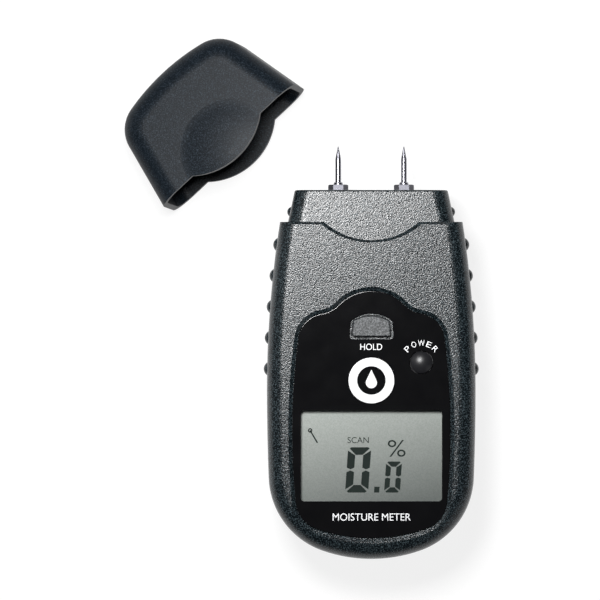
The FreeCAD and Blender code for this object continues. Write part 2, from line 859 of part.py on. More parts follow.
def make_recess():
    """The bevelled recess that the front panel lies in."""
    body = new_body("recess")
    low = new_sketch(body, "recess_low", level="thickness - bevel_depth")
    draw(low, panel_outline("bevel_width", "bevel_width + bevel_foot_extra"))
    high = new_sketch(body, "recess_high", level="thickness")
    draw(high, panel_outline("0", "0"))
    loft = body.newObject("PartDesign::AdditiveLoft", "recess_loft")
    loft.Profile = low
    loft.Sections = [high]
    loft.Ruled = True
    doc.recompute()
    bed = new_sketch(body, "recess_bed", level="thickness - bevel_depth - overlay_thickness")
    draw(bed, panel_outline("bevel_width", "bevel_width + bevel_foot_extra"))
    add_pad(body, bed, "recess_bed_pad", "overlay_thickness")
    return body


def make_front_cover(shell, front_side, seam):
    """The front cover, with its panel recess, window, button holes and screw posts."""
    half = common("front_half", shell, front_side)
    posts = [rod(f"case_post_{index}", "post_radius", x, y, "split_level",
                 "thickness - front_wall + join_past")
             for index, (x, y) in enumerate(case_screw_places(), start=1)]
    posts += [rod(f"board_post_{index}", "board_post_radius", x, y, "board_high",
                  "thickness - front_wall + join_past")
              for index, (x, y) in enumerate(board_screw_places(), start=1)]
    cradles = [make_cradle(f"front_cradle_{name}", side, "split_level", "thickness - front_wall")
               for name, side in (("left", -1), ("right", 1))]
    solid = fuse("front_solid", half, *posts, *cradles, *detent_balls("detent", "0"))
    hole_low = "thickness - front_wall - cut_past"
    window = rounded_block("window_opening", "window_half_width + window_gap",
                           "window_foot - window_gap", "window_top + window_gap",
                           hole_low, "thickness", "window_corner")
    lens_edge = "lens_margin + overlay_gap"
    lens_seat = rounded_block("lens_seat", f"window_half_width + {lens_edge}",
                              f"window_foot - ({lens_edge})", f"window_top + {lens_edge}",
                              "lens_low", "thickness", "lens_corner")
    holes = [window, lens_seat, make_recess(), seam,
             button_prism("hold_hole", "button_gap", hole_low, "thickness"),
             rod("power_hole", "power_radius + button_gap", "power_x", "power_y", hole_low, "thickness")]
    holes += [rod(f"case_pilot_{index}", "screw_radius + close_gap", x, y, "split_level - cut_past",
                  "screw_top + cut_past")
              for index, (x, y) in enumerate(case_screw_places(), start=1)]
    holes += [rod(f"board_pilot_{index}", "board_screw_radius + close_gap", x, y, "board_high - cut_past",
                  "thickness - front_wall")
              for index, (x, y) in enumerate(board_screw_places(), start=1)]
    holes += pin_clearances("front")
    return finished(cut("front_cover", solid, *holes), "front_cover")


def detent_balls(name, grow):
    """The balls of the two bumps on the neck's sides that the cap snaps over, grown by a margin."""
    balls = []
    for count, side in enumerate((-1, 1), start=1):
        ball = doc.addObject("Part::Sphere", f"{name}_{count}")
        ball.setExpression("Radius", formula(f"detent_radius + {grow}"))
        place(ball, f"{side} * ({neck_side_x('detent_level')} + detent_proud - detent_radius)",
              "detent_level", "detent_height")
        balls.append(ball)
    return balls


def neck_side_x(level):
    return (f"(cap_half_width - (cap_wall + cap_gap) / cos(cap_side_taper)"
            f" - ({level} - shoulder_level) * tan(cap_side_taper))")


def make_cradle(name, side, low, high):
    """A block that holds a pin socket; its half round seat is cut by pin_clearances."""
    return block(name, (f"{side} * pin_half_pitch - cradle_half_width", "cradle_start", low),
                 (f"{side} * pin_half_pitch + cradle_half_width", "cradle_end", high))


def pin_clearances(cover):
    """The bores along Y that the pins and their sockets leave in both covers."""
    bores = []
    for name, side in (("left", -1), ("right", 1)):
        x = f"{side} * pin_half_pitch"
        bores.append(rod(f"{cover}_{name}_socket_seat", "socket_radius + close_gap", x,
                         "socket_start - cut_past", "split_level", "neck_level - neck_wall", Y_AXIS))
        bores.append(rod(f"{cover}_{name}_pin_hole", "pin_hole_radius", x,
                         "socket_start - cut_past", "split_level", "neck_level + cut_past", Y_AXIS))
    return bores


def rounded_block(name, half_width, foot, top, low, high, corner):
    """A plate centred on X = 0 with round corners seen from the front."""
    body = new_body(name)
    sketch = new_sketch(body, name + "_outline", level=low)
    draw_polygon(sketch, [(half_width, foot), (half_width, top),
                          (f"-({half_width})", top), (f"-({half_width})", foot)])
    pad = add_pad(body, sketch, name + "_pad", f"({high}) - ({low})")
    add_fillet(body, pad, name + "_corners", corner, upright)
    return body


def button_prism(name, grow, low, high):
    """A prism with the HOLD button's outline, grown by a margin."""
    body = new_body(name)
    sketch = new_sketch(body, name + "_outline", level=low)
    draw(sketch, hold_outline(grow))
    pad = add_pad(body, sketch, name + "_pad", f"({high}) - ({low})")
    add_fillet(body, pad, name + "_corners", f"hold_corner + {grow} / 2", upright)
    return body


def make_rear_cover(shell, front_side, seam):
    """The rear cover, with the battery bay, screw bosses and the door's rails."""
    half = cut("rear_half", shell, front_side)
    bosses = [rod(f"boss_{index}", "boss_radius", x, y, "back_wall - join_past", "split_level")
              for index, (x, y) in enumerate(case_screw_places(), start=1)]
    inside_case = common("bosses_inside", fuse("bosses", *bosses), doc.getObject("case_outside"))
    cradles = [make_cradle(f"rear_cradle_{name}", side, "cradle_low", "split_level")
               for name, side in (("left", -1), ("right", 1))]
    bay = common("bay_inside", make_bay(), doc.getObject("case_outside"))
    solid = fuse("rear_solid", half, inside_case, bay, *cradles)
    door_slot = block("door_slot", ("-door_half_width - door_gap", "foot_level - deep_past", "-cut_past"),
                      ("door_half_width + door_gap", "door_top + door_gap", "back_wall"))
    holes = [door_slot, seam]
    for side, name in ((-1, "left"), (1, "right")):
        inner = "door_half_width - cut_past"
        outer = "door_half_width + door_tongue + door_slot_gap + door_end_gap"
        low_x, high_x = (inner, outer) if side == 1 else (f"-({outer})", f"-({inner})")
        holes.append(block(f"{name}_rail", (low_x, "foot_level - deep_past",
                                            "door_tongue_low - door_slot_gap"),
                           (high_x, "door_top - cut_past", "door_tongue_high + door_slot_gap")))
    for index, (x, y) in enumerate(case_screw_places(), start=1):
        holes.append(rod(f"head_seat_{index}", "screw_head_radius + loose_gap", x, y, "-cut_past",
                         "screw_head_high"))
        holes.append(rod(f"screw_hole_{index}", "screw_hole_radius", x, y, "-cut_past",
                         "split_level + cut_past"))
    holes += pin_clearances("rear")
    return finished(cut("rear_cover", solid, *holes), "rear_cover")


def make_bay():
    """The battery bay's walls, roof and the ledges that the door slides under."""
    wall = "bay_half_width + bay_wall"
    outside = block("bay_outside", (f"-({wall})", "bay_foot", "back_wall"),
                    (wall, "bay_top + bay_wall", "bay_roof + bay_roof_wall"))
    ledges = block("bay_ledges", ("-ledge_half_width", "foot_level", "back_wall"),
                   ("ledge_half_width", "door_top + ledge_depth", "back_wall + ledge_height"))
    inside = block("bay_inside_space", ("-bay_half_width", "foot_level - deep_past", "back_wall - deep_past"),
                   ("bay_half_width", "bay_top", "bay_roof"))
    wire_hole = rod("bay_wire_hole", "battery_lead_half_pitch + lead_radius + wire_gap", "0",
                    "bay_top - cut_past", "battery_lead_height", "bay_top + bay_wall + cut_past", Y_AXIS)
    return cut("bay", fuse("bay_walls", outside, ledges), inside, wire_hole)


def make_battery_door():
    """The sliding door over the battery, with side tongues and a ribbed thumb grip."""
    plate = common("door_plate", doc.getObject("case_outside"),
                   block("door_block", ("-door_half_width", "foot_level - deep_past", "-cut_past"),
                         ("door_half_width", "door_top", "door_thickness")))
    tongues = block("door_tongues", ("-door_half_width - door_tongue", "door_tongue_start",
                                     "door_tongue_low"),
                    ("door_half_width + door_tongue", "door_top - door_tongue_setback", "door_tongue_high"))
    grooves = []
    for count in range(5):
        level = f"door_grip_level - {count} * door_grip_pitch"
        groove = doc.addObject("Part::Cylinder", f"door_groove_{count + 1}")
        groove.Placement = FreeCAD.Placement(FreeCAD.Vector(), FreeCAD.Rotation(Z_AXIS, X_AXIS))
        groove.setExpression("Radius", formula("door_grip_radius"))
        groove.setExpression("Height", formula("2 * door_grip_half_width"))
        place(groove, "-door_grip_half_width", level, "0")
        grooves.append(groove)
    solid = fuse("door_solid", plate, tongues)
    return finished(cut("battery_door", solid, *grooves), "battery_door")


# ---------------------------------------------------------------- panel and display

def make_overlay():
    """The black panel in the recess, open at the window and at both buttons."""
    body = new_body("overlay_sheet")
    sketch = new_sketch(body, "overlay_outline", level="thickness - bevel_depth - overlay_thickness")
    draw(sketch, panel_outline("bevel_width + overlay_gap",
                               "bevel_width + bevel_foot_extra + overlay_gap"))
    pad = add_pad(body, sketch, "overlay_pad", "overlay_thickness")
    add_fillet(body, pad, "overlay_edge", "overlay_edge_round",
               level_edge(number("thickness - bevel_depth")))
    window = rounded_block("overlay_window", "window_half_width", "window_foot", "window_top",
                           "thickness - deep_past", "thickness", "window_corner")
    hold = button_prism("overlay_hold_hole", "button_rim", "thickness - deep_past", "thickness")
    power = rod("overlay_power_hole", "power_radius + button_gap", "power_x", "power_y",
                "thickness - deep_past", "thickness")
    return finished(cut("panel_overlay", body, window, hold, power), "panel_overlay")


def make_window():
    """The clear lens, in its seat in the front cover and under the edge of the panel."""
    body = rounded_block("display_window", "window_half_width + lens_margin",
                         "window_foot - lens_margin", "window_top + lens_margin",
                         "lens_low", "thickness - bevel_depth - overlay_thickness", "lens_corner")
    return finished(body, "display_window")


def make_display():
    """The display glass, the frame that holds it on the board, and its contact strip."""
    glass = block("lcd_glass", ("-glass_half_width", "glass_foot", "glass_low"),
                  ("glass_half_width", "glass_top", "glass_high"))
    outside = block("frame_outside", ("-glass_half_width - frame_wall", "glass_foot - frame_wall",
                                      "board_high"),
                    ("glass_half_width + frame_wall", "glass_top + frame_wall", "glass_high - frame_step"))
    seat = block("frame_seat", ("-glass_half_width", "glass_foot", "glass_low"),
                 ("glass_half_width", "glass_top", "thickness"))
    well = block("frame_well", ("frame_ledge - glass_half_width", "glass_foot + frame_ledge",
                                "board_high - cut_past"),
                 ("glass_half_width - frame_ledge", "glass_top", "glass_low + cut_past"))
    strip_high = "glass_top - strip_inset"
    strip = block("lcd_contact_strip", ("strip_end - glass_half_width", f"{strip_high} - strip_width",
                                        "board_high"),
                  ("glass_half_width - strip_end", strip_high, "glass_low"))
    return [finished(glass, "lcd_glass"), finished(cut("lcd_frame", outside, seat, well), "lcd_frame"),
            finished(strip, "lcd_contact_strip")]


# ---------------------------------------------------------------- buttons and switches

def make_hold_button():
    """The HOLD button: its key with a rounded top edge, and the flange that keeps it in."""
    key = button_prism("hold_key", "0", "flange_high - flange_joint", "thickness + hold_proud")
    feature = key.Tip
    add_fillet(key, feature, "hold_key_round", "button_edge_round",
               level_edge(number("thickness + hold_proud")))
    flange = button_prism("hold_flange", "flange_rim", "flange_low", "flange_high")
    return finished(fuse("hold_button", key, flange), "hold_button")


def make_power_button():
    """The POWER button: a round key with a domed top and a flange, turned about its own axis."""
    body = new_body("power_button")
    sketch = new_sketch(body, "power_profile", role="XZ_Plane")
    flange = number("power_radius + flange_rim")
    radius = number("power_radius")
    low = number("flange_low")
    high = number("flange_high")
    rim = number("thickness - bevel_depth + power_proud")
    rise = number("power_dome")
    dome = (radius ** 2 + rise ** 2) / (2 * rise)
    corners = [(0, low), (flange, low), (flange, high), (radius, high), (radius, rim)]
    points = [FreeCAD.Vector(x, y, 0) for x, y in corners]
    top = FreeCAD.Vector(0, rim + rise, 0)
    centre = FreeCAD.Vector(0, rim + rise - dome, 0)
    pieces = [line(start, end) for start, end in zip(points, points[1:])]
    pieces.append(arc(centre, "(power_radius^2 + power_dome^2) / (2 * power_dome)", points[-1], top,
                      "0", None))
    pieces.append(line(top, points[0]))
    draw(sketch, pieces)
    turned = body.newObject("PartDesign::Revolution", "power_turned")
    turned.Profile = sketch
    turned.ReferenceAxis = (sketch, ["V_Axis"])
    turned.Angle = 360
    place(body, "power_x", "power_y", "0")
    doc.recompute()
    return finished(body, "power_button")


def make_switches():
    """The two push switches on the board, and the plungers that move with the buttons."""
    for name, x, y in (("hold", "0", "switch_level"), ("power", "power_x", "power_y")):
        housing = block(f"{name}_housing", (f"{x} - switch_half_side", f"{y} - switch_half_side",
                                            "board_high"),
                        (f"{x} + switch_half_side", f"{y} + switch_half_side", "switch_high"))
        well = rod(f"{name}_well", "plunger_radius + plunger_gap", x, y, "plunger_well",
                   "switch_high + cut_past")
        finished(cut(f"{name}_switch", housing, well), f"{name}_switch")
        plunger = rod(f"{name}_switch_plunger", "plunger_radius", x, y, "plunger_low", "flange_low")
        finished(plunger, f"{name}_switch_plunger")


# ---------------------------------------------------------------- circuit board

def make_board():
    """The circuit board with its screw holes, its main chip and its small parts underneath."""
    sheet_block = block("board_sheet", ("-board_half_width", "board_foot", "board_low"),
                        ("board_half_width", "board_top", "board_high"))
    holes = [rod(f"board_hole_{index}", "board_screw_radius + loose_gap", x, y, "board_low - cut_past",
                 "board_high + cut_past")
             for index, (x, y) in enumerate(board_screw_places(), start=1)]
    finished(cut("circuit_board", sheet_block, *holes), "circuit_board")
    chip = block("main_chip", ("-chip_half_side", "chip_middle - chip_half_side", "board_low - chip_height"),
                 ("chip_half_side", "chip_middle + chip_half_side", "board_low"))
    finished(chip, "main_chip")
    finished(group("small_components", *make_components()), "small_components")
    finished(group("board_screws", *make_board_screws()), "board_screws")


def make_components():
    """Capacitors, resistors and a crystal in rows beside the chip, on the board's underside."""
    parts = []
    for side, name in ((-1, "left"), (1, "right")):
        for count in range(4):
            x = f"{side} * resistor_x - resistor_half_length"
            y = f"resistor_start + {count} * resistor_pitch"
            parts.append(block(f"chip_part_{name}_{count + 1}", (x, y, "board_low - resistor_height"),
                               (f"{x} + 2 * resistor_half_length", f"{y} + resistor_width", "board_low")))
        parts.append(rod(f"capacitor_{name}", "capacitor_radius", f"{side} * capacitor_x", "capacitor_y",
                         "board_low - capacitor_height", "board_low"))
    parts.append(block("crystal", ("-crystal_half_length", "crystal_start", "board_low - crystal_height"),
                       ("crystal_half_length", "crystal_start + crystal_width", "board_low")))
    return parts


def make_board_screws():
    """Small pan head screws that hold the board to the front cover's posts."""
    screws = []
    for index, (x, y) in enumerate(board_screw_places(), start=1):
        head = rod(f"board_screw_head_{index}", "board_screw_radius * 2", x, y,
                   "board_low - board_head_height", "board_low")
        shank = rod(f"board_screw_shank_{index}", "board_screw_radius", x, y, "board_low - cut_past",
                    "board_high + board_screw_grip")
        cross = cross_slot(f"board_screw_slot_{index}", x, y,
                           "board_low - board_head_height - cut_past", "board_low - board_slot_floor",
                           "board_slot_half_length", "board_slot_width")
        screws.append(cut(f"board_screw_{index}", fuse(f"board_screw_solid_{index}", head, shank), cross))
    return screws


def cross_slot(name, x, y, low, high, half_length, width):
    """The two crossing slots of a cross head screw."""
    bars = []
    for turn, (half_x, half_y) in enumerate(((half_length, f"{width} / 2"), (f"{width} / 2", half_length))):
        bars.append(block(f"{name}_bar_{turn + 1}", (f"{x} - ({half_x})", f"{y} - ({half_y})", low),
                          (f"{x} + {half_x}", f"{y} + {half_y}", high)))
    return fuse(name, *bars)


def make_case_screws():
    """The four screws that close the case from behind, as one group."""
    screws = []
    for index, (x, y) in enumerate(case_screw_places(), start=1):
        head = rod(f"case_screw_head_{index}", "screw_head_radius", x, y, "screw_head_low",
                   "screw_head_high")
        shank = rod(f"case_screw_shank_{index}", "screw_radius", x, y, "screw_head_high - join_past",
                    "screw_top")
        cross = cross_slot(f"case_screw_slot_{index}", x, y, "screw_head_low - cut_past",
                           "screw_head_low + screw_slot_depth", "screw_head_radius * screw_slot_share",
                           "screw_slot_width")
        screws.append(cut(f"case_screw_{index}", fuse(f"case_screw_solid_{index}", head, shank), cross))
    finished(group("case_screws", *screws), "case_screws")


# ---------------------------------------------------------------- probe

def make_probe(name, side):
    """One probe: its threaded pin with a needle point, the hex nut outside and the socket inside."""
    x = f"{side} * pin_half_pitch"
    finished(make_pin(f"{name}_probe_pin", x), f"{name}_probe_pin")
    finished(make_nut(f"{name}_pin_nut", x), f"{name}_pin_nut")
    sleeve = rod(f"{name}_socket_sleeve", "socket_radius", x, "socket_start", "split_level",
                 "socket_end", Y_AXIS)
    bore = rod(f"{name}_socket_bore", "socket_bore", x, "socket_start + socket_floor", "split_level",
               "socket_end + cut_past", Y_AXIS)
    finished(cut(f"{name}_pin_socket", sleeve, bore), f"{name}_pin_socket")


def make_pin(name, x):
    """A turned pin: an M3 shank, a plain needle and a conical point, along Y."""
    body = new_body(name)
    sketch = new_sketch(body, name + "_profile")
    draw_polygon(sketch, [("0", "thread_start"), ("thread_radius", "thread_start"),
                          ("thread_radius", "thread_end"), ("pin_radius", "thread_end + thread_chamfer"),
                          ("pin_radius", "pin_cone_level"), ("pin_tip_radius", "pin_tip_level"),
                          ("0", "pin_tip_level")])
    turned = body.newObject("PartDesign::Revolution", name + "_turned")
    turned.Profile = sketch
    turned.ReferenceAxis = (sketch, ["V_Axis"])
    turned.Angle = 360
    place(body, x, "0", "split_level")
    return body


def make_nut(name, x):
    """A thin M3 hex nut on the end of the neck, its corners bevelled on the outer side."""
    prism = doc.addObject("Part::Prism", name + "_prism")
    prism.Polygon = 6
    prism.setExpression("Circumradius", formula("nut_across_flats / 2 / cos(30)"))
    prism.setExpression("Height", formula("nut_thickness"))
    prism.Placement = FreeCAD.Placement(FreeCAD.Vector(), FreeCAD.Rotation(Z_AXIS, Y_AXIS))
    place(prism, x, "neck_level", "split_level")
    cone = doc.addObject("Part::Cone", name + "_bevel")
    half = "nut_across_flats / 2 / cos(30)"
    cone.setExpression("Radius1", formula(f"{half} + nut_thickness * 2 - nut_corner_cut"))
    cone.setExpression("Radius2", formula(f"{half} - nut_corner_cut"))
    cone.setExpression("Height", formula("nut_thickness"))
    cone.Placement = FreeCAD.Placement(FreeCAD.Vector(), FreeCAD.Rotation(Z_AXIS, Y_AXIS))
    place(cone, x, "neck_level", "split_level")
    bore = rod(name + "_bore", "thread_radius + close_gap", x, "neck_level - cut_past", "split_level",
               "neck_level + nut_thickness + cut_past", Y_AXIS)
    return cut(name, common(name + "_bevelled", prism, cone), bore)


# ---------------------------------------------------------------- battery

def make_battery():
    """A 9 V block with its two snap studs, the snap connector and the pad above it."""
    end = "battery_foot + battery_length"
    middle = "battery_low + battery_thickness / 2"
    body = new_body("battery")
    sketch = new_sketch(body, "battery_section", role="XZ_Plane", level="-(battery_foot + battery_length)")
    draw_polygon(sketch, [("-battery_half_width", "battery_low"), ("battery_half_width", "battery_low"),
                          ("battery_half_width", "battery_low + battery_thickness"),
                          ("-battery_half_width", "battery_low + battery_thickness")])
    pad = add_pad(body, sketch, "battery_block", "battery_length")
    add_fillet(body, pad, "battery_corners", "battery_round",
               lambda edge: edge.BoundBox.YLength > number("battery_length") - 1)
    finished(body, "battery")
    studs = []
    wells = []
    for name, side in (("small", -1), ("large", 1)):
        radius = f"{name}_stud_radius"
        x = f"{side} * stud_pitch / 2"
        studs.append(rod(f"{name}_stud", radius, x, end, middle, f"{end} + stud_height", Y_AXIS))
        wells.append(rod(f"{name}_well", f"{radius} + stud_gap", x, end, middle,
                         f"{end} + stud_height + stud_end_gap", Y_AXIS))
    finished(group("battery_terminals", *studs), "battery_terminals")
    plate = block("snap_plate", ("snap_inset - battery_half_width", f"{end} + snap_gap",
                                 f"{middle} - snap_half_height"),
                  ("battery_half_width - snap_inset", f"{end} + snap_depth", f"{middle} + snap_half_height"))
    finished(cut("battery_snap", plate, *wells), "battery_snap")
    pad_block = block("battery_pad", ("-battery_half_width + pad_side_inset", "battery_foot + pad_end_inset",
                                      "bay_roof - pad_thickness"),
                      ("battery_half_width - pad_side_inset", f"{end} - pad_end_inset", "bay_roof"))
    finished(pad_block, "battery_pad")


def make_lead(name, points):
    """A round lead along straight runs that are joined by arcs, read from the sheet."""
    places = [FreeCAD.Vector(*(number(text) for text in point)) for point in points]
    bend = number("lead_bend")
    edges = []
    start = places[0]
    for before, corner, after in zip(places, places[1:], places[2:]):
        to_before = (before - corner).normalize()
        to_after = (after - corner).normalize()
        half_turn = (math.pi - to_before.getAngle(to_after)) / 2
        setback = bend * math.tan(half_turn)
        arc_start = corner + to_before * setback
        arc_end = corner + to_after * setback
        inward = (to_before + to_after).normalize()
        middle = corner + inward * (bend / math.cos(half_turn) - bend)
        edges.append(Part.LineSegment(start, arc_start).toShape())
        edges.append(Part.Arc(arc_start, middle, arc_end).toShape())
        start = arc_end
    edges.append(Part.LineSegment(start, places[-1]).toShape())
    path = Part.Wire(edges)
    section = Part.Wire([Part.makeCircle(number("lead_radius"), places[0], places[1] - places[0])])
    item = doc.addObject("Part::Feature", name)
    item.Shape = path.makePipeShell([section], True, False)
    item.Placement = FreeCAD.Placement()
    return finished(item, name)


def make_leads():
    """The two leads from the pin sockets to the board and the two from the battery snap."""
    for name, side in (("left", -1), ("right", 1)):
        x = f"{side} * pin_half_pitch"
        make_lead(f"{name}_probe_lead", [
            (x, "socket_start", "split_level"),
            (x, "probe_lead_level", "split_level"),
            (x, "probe_lead_level", "board_low")])
    snap_end = "battery_foot + battery_length + snap_depth"
    for name, side in (("black", -1), ("red", 1)):
        x = f"{side} * battery_lead_half_pitch"
        make_lead(f"battery_lead_{name}", [
            (x, snap_end, "battery_lead_height"),
            (x, f"{snap_end} + battery_lead_run", "battery_lead_height"),
            (x, f"{snap_end} + battery_lead_run", "board_low")])


# ---------------------------------------------------------------- protective cap

def make_cap():
    """The push-on cap over the pins, with a tongue and a thumb dome, laid beside the meter."""
    start = "shoulder_level - tongue_depth - deep_past"
    end = "shoulder_level + cap_height"
    outside = tapered_form("cap_outside", "0", start, end, cap_outline("0", start), None,
                           "cap_back_round", "cap_front_round")
    inside = tapered_form("cap_inside", "cap_wall", f"{start} - mouth_past", f"{end}",
                          cap_outline("cap_wall", f"{start} - mouth_past"), None,
                          "cap_back_round - cap_wall", "cap_front_round - cap_wall")
    mouth = new_body("cap_mouth")
    sketch = new_sketch(mouth, "cap_mouth_outline", level="mouth_low")
    draw(sketch, tongue_outline("tongue_half_width", "tongue_depth",
                                "shoulder_level + cap_mouth_gap", "shoulder_level - mouth_reach"))
    add_pad(mouth, sketch, "cap_mouth_pad", "thickness + form_past")
    hollowed = cut("cap_hollowed", fuse("cap_with_dome", outside, make_dome()), inside)
    dimples = detent_balls("dimple", "dimple_gap")
    cap = finished(cut("protective_cap", hollowed, mouth, *dimples), "protective_cap")
    doc.recompute()
    lay_down(cap)


def make_dome():
    """A low round dome with a flared foot on the cap's front, where a thumb pushes the cap off."""
    reach = number("dome_reach")
    height = number("dome_height")
    flare = number("dome_flare")
    crown = (reach ** 2 + height ** 2) / (2 * height) - flare
    top = FreeCAD.Vector(0, height, 0)
    foot = FreeCAD.Vector(reach, 0, 0)
    crown_centre = FreeCAD.Vector(0, height - crown, 0)
    flare_centre = FreeCAD.Vector(reach, flare, 0)
    join = on_circle(crown_centre, flare_centre, crown)
    low_foot = FreeCAD.Vector(reach, -number("dome_root"), 0)
    low_middle = FreeCAD.Vector(0, -number("dome_root"), 0)
    body = new_body("dome")
    sketch = new_sketch(body, "dome_profile", role="XZ_Plane")
    draw(sketch, [arc(crown_centre, "(dome_reach^2 + dome_height^2) / (2 * dome_height) - dome_flare",
                      top, join, "0", None),
                  arc(flare_centre, "dome_flare", join, foot, "dome_reach", None),
                  line(foot, low_foot), line(low_foot, low_middle), line(low_middle, top)])
    turned = body.newObject("PartDesign::Revolution", "dome_turned")
    turned.Profile = sketch
    turned.ReferenceAxis = (sketch, ["V_Axis"])
    turned.Angle = 360
    lean = FreeCAD.Rotation(X_AXIS, -number("cap_front_taper"))
    body.Placement = FreeCAD.Placement(FreeCAD.Vector(), lean)
    level = "shoulder_level + cap_mouth_gap - dome_drop"
    place(body, "0", level, f"{front_plane('0', level)} - dome_sink")
    doc.recompute()
    return body


def lay_down(cap):
    """Turns the cap onto its leaning back, and puts its front lip over its resting place."""
    yaw = FreeCAD.Rotation(Z_AXIS, number("cap_yaw"))
    pitch = FreeCAD.Rotation(X_AXIS, -number("cap_back_taper"))
    roll = FreeCAD.Rotation(Y_AXIS, number("cap_roll"))
    turn = yaw.multiply(pitch).multiply(roll)
    lip = FreeCAD.Vector(0, number("shoulder_level + cap_mouth_gap"), number("thickness"))
    lip_there = turn.multVec(lip)
    cap.Placement = FreeCAD.Placement(FreeCAD.Vector(), turn)
    floor = min(point.z for point in cap.Shape.tessellate(FINE)[0])
    cap.Placement = FreeCAD.Placement(FreeCAD.Vector(number("cap_rest_x") - lip_there.x,
                                                     number("cap_rest_y") - lip_there.y, -floor), turn)


# ---------------------------------------------------------------- building and writing

def check(item):
    """Raises if an object of the document failed, or if a sub-part isn't a valid solid."""
    if any(word in item.State for word in ("Invalid", "Error")):
        raise ValueError(f"{item.Name} is {item.State}")
    if item in sub_parts and (item.Shape.isNull() or not item.Shape.isValid()):
        raise ValueError(f"{item.Label} has a bad shape")


def build():
    shell = make_case()
    front_side = block("front_side", (f"-{FAR}", f"-{FAR}", "split_level"),
                       (f"{FAR}", f"{FAR}", "thickness * 2"))
    seam = make_seam()
    make_front_cover(shell, front_side, seam)
    make_rear_cover(shell, front_side, seam)
    make_battery_door()
    make_overlay()
    make_window()
    make_display()
    make_hold_button()
    make_power_button()
    make_switches()
    make_board()
    for name, side in (("left", -1), ("right", 1)):
        make_probe(name, side)
    make_battery()
    make_case_screws()
    make_leads()
    make_cap()


build()
doc.recompute()
for each in doc.Objects:
    check(each)
os.makedirs("parts", exist_ok=True)
for part in sub_parts:
    part.Shape.exportStep(f"parts/{part.Label}.step")
    print(f"{part.Label}: {len(part.Shape.Solids)} solid(s), {part.Shape.Volume / 1000:.2f} cm3")
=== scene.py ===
import json
import math

import bmesh
import bpy
from mathutils import Matrix, Vector


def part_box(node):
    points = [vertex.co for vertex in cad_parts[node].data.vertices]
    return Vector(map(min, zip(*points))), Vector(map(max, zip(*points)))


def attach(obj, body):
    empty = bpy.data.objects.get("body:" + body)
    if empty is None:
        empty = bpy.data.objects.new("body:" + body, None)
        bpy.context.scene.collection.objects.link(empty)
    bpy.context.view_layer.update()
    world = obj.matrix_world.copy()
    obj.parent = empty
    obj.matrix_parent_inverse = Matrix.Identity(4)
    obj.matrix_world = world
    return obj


MM = 0.001

# Finishes, in metres: how far apart the grains of each texture are, and how deep they go
SPARK_GRAIN = 0.00038
SPARK_DEPTH = 0.000088
SATIN_GRAIN = 0.00045
SATIN_DEPTH = 0.02 * MM
SOFT_MOTTLE = 0.006

INK_LIFT = 0.02 * MM        # how far printed ink stands above the surface under it

# Sockets that Blender tells apart only by number: the colour ones of a Mix node, and the
# second and third values of a Math node
MIX_FACTOR, MIX_FIRST, MIX_SECOND, MIX_RESULT = 0, 6, 7, 2
MATH_SECOND, MATH_THIRD = 1, 2

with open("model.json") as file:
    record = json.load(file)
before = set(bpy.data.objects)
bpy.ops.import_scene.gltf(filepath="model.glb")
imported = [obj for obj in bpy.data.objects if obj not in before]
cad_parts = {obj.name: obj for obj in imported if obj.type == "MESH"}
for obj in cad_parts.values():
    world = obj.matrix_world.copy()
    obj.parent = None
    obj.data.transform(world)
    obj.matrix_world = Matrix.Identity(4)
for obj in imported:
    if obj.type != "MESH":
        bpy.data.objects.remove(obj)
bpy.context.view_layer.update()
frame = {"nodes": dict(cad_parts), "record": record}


# ---------------------------------------------------------------- materials

def new_material(name, color, roughness, **others):
    """A material whose Principled shader has these constants on its own sockets."""
    material = bpy.data.materials.new(name)
    material.use_nodes = True
    shader = material.node_tree.nodes["Principled BSDF"]
    shader.inputs["Base Color"].default_value = (*color, 1.0)
    shader.inputs["Roughness"].default_value = roughness
    for socket, value in others.items():
        shader.inputs[socket.replace("_", " ").title().replace("Ior", "IOR")].default_value = value
    return material


def node(material, kind, **settings):
    """A new node in the material, with its named inputs set."""
    item = material.node_tree.nodes.new(kind)
    for name, value in settings.items():
        item.inputs[name.replace("_", " ").title()].default_value = value
    return item


def join(material, source, target):
    """Links an output socket to an input socket."""
    material.node_tree.links.new(source, target)


def shader_of(material):
    return material.node_tree.nodes["Principled BSDF"]


def coordinates(material, output="Object"):
    return node(material, "ShaderNodeTexCoord").outputs[output]


def noise(material, spacing, detail=2.0, roughness=0.5, stretch=None):
    """A noise over the object's own coordinates, its grains spacing metres apart."""
    texture = node(material, "ShaderNodeTexNoise", Scale=1.0 / spacing, Detail=detail,
                   Roughness=roughness)
    source = coordinates(material)
    if stretch:
        mapping = node(material, "ShaderNodeMapping", Scale=stretch)
        join(material, source, mapping.inputs["Vector"])
        source = mapping.outputs["Vector"]
    join(material, source, texture.inputs["Vector"])
    return texture.outputs["Fac"]


def spark_noise(material):
    """The noise of a spark-eroded mould, which the case and the HOLD key share."""
    return noise(material, SPARK_GRAIN, detail=1.0, roughness=0.6)


def ramp(material, source, low, high):
    """Maps a value from its range low..high to 0..1, clamped."""
    item = node(material, "ShaderNodeMapRange", From_Min=low, From_Max=high)
    join(material, source, item.inputs["Value"])
    return item.outputs["Result"]


def blend_colors(material, factor, first, second):
    """The colour that goes from first to second with a factor."""
    item = node(material, "ShaderNodeMix")
    item.data_type = "RGBA"
    item.inputs[MIX_FIRST].default_value = (*first, 1.0)
    item.inputs[MIX_SECOND].default_value = (*second, 1.0)
    join(material, factor, item.inputs[MIX_FACTOR])
    return item.outputs[MIX_RESULT]


def multiply_colors(material, first, second):
    """The product of two colour sockets."""
    item = node(material, "ShaderNodeMix")
    item.data_type = "RGBA"
    item.blend_type = "MULTIPLY"
    item.inputs[MIX_FACTOR].default_value = 1.0
    join(material, first, item.inputs[MIX_FIRST])
    join(material, second, item.inputs[MIX_SECOND])
    return item.outputs[MIX_RESULT]


